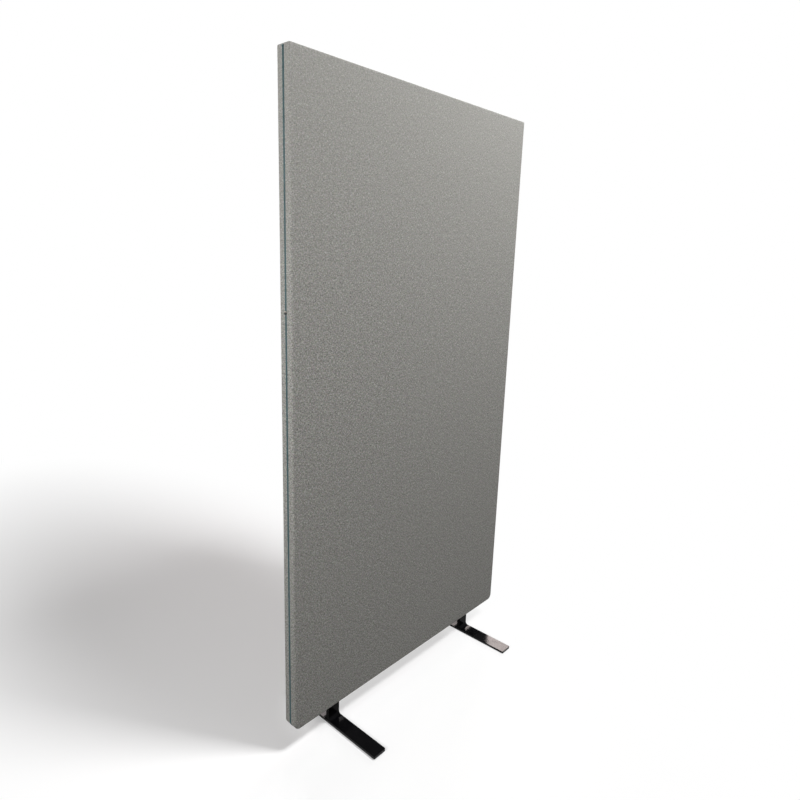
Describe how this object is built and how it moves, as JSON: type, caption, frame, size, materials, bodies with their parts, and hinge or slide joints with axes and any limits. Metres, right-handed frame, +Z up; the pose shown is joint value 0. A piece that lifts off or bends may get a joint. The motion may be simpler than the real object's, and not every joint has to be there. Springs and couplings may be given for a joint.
{
  "type": "acoustic divider screen",
  "caption": "Free-standing upholstered acoustic panel on flat steel T feet, with zips down its upright edges that link it to the next panel.",
  "frame": {"origin": "on the floor, in the middle of the four pads and under the middle of the panel", "axes": "+X across the panel to the right seen from the front, -Y out of its front face, +Z up"},
  "size_m": [1.008, 0.41, 1.87],
  "materials": {
    "cover_fabric": "matte",
    "zip_tape": "matte",
    "zip_chain": "satin",
    "zip_slider": "satin",
    "zinc_fasteners": "satin",
    "frame_timber": "matte",
    "septum_board": "matte",
    "absorber_felt": "matte",
    "facing_felt": "matte",
    "edge_wadding": "matte",
    "foot_steel": "gloss",
    "socket_steel": "satin",
    "pad_rubber": "matte"
  },
  "bodies": {
    "panel": {"back_cover": "cover_fabric", "back_facing": "facing_felt", "bottom_edge_wadding": "edge_wadding", "frame_bottom_rail": "frame_timber", "frame_left_stile": "frame_timber", "frame_mid_rail": "frame_timber", "frame_right_stile": "frame_timber", "frame_screws": "zinc_fasteners", "frame_top_rail": "frame_timber", "front_cover": "cover_fabric", "front_facing": "facing_felt", "left_edge_wadding": "edge_wadding", "left_foot_back_pad": "pad_rubber", "left_foot_bar": "foot_steel", "left_foot_bolts": "zinc_fasteners", "left_foot_front_pad": "pad_rubber", "left_foot_nuts": "zinc_fasteners", "left_foot_socket": "socket_steel", "left_foot_socket_screws": "zinc_fasteners", "left_foot_upright": "foot_steel", "left_foot_washers": "zinc_fasteners", "left_zip_back_chain": "zip_chain", "left_zip_back_tape": "zip_tape", "left_zip_bottom_stop": "zip_chain", "left_zip_front_chain": "zip_chain", "left_zip_front_tape": "zip_tape", "left_zip_top_stops": "zip_chain", "lower_back_absorber": "absorber_felt", "lower_front_absorber": "absorber_felt", "lower_septum": "septum_board", "right_edge_wadding": "edge_wadding", "right_foot_back_pad": "pad_rubber", "right_foot_bar": "foot_steel", "right_foot_bolts": "zinc_fasteners", "right_foot_front_pad": "pad_rubber", "right_foot_nuts": "zinc_fasteners", "right_foot_socket": "socket_steel", "right_foot_socket_screws": "zinc_fasteners", "right_foot_upright": "foot_steel", "right_foot_washers": "zinc_fasteners", "right_zip_back_chain": "zip_chain", "right_zip_back_tape": "zip_tape", "right_zip_bottom_stop": "zip_chain", "right_zip_front_chain": "zip_chain", "right_zip_front_tape": "zip_tape", "right_zip_top_stops": "zip_chain", "top_edge_wadding": "edge_wadding", "upper_back_absorber": "absorber_felt", "upper_front_absorber": "absorber_felt", "upper_septum": "septum_board"},
    "left_slider": {"left_zip_slider": "zip_slider"},
    "right_slider": {"right_zip_slider": "zip_slider"}
  },
  "joints": [
    {"name": "left_slider_travel", "type": "slide", "parent": "panel", "child": "left_slider", "axis": [0, 0, 1], "range_m": [-1.1715, 0.5902]},
    {"name": "right_slider_travel", "type": "slide", "parent": "panel", "child": "right_slider", "axis": [0, 0, 1], "range_m": [-1.1715, 0.5902]}
  ]
}
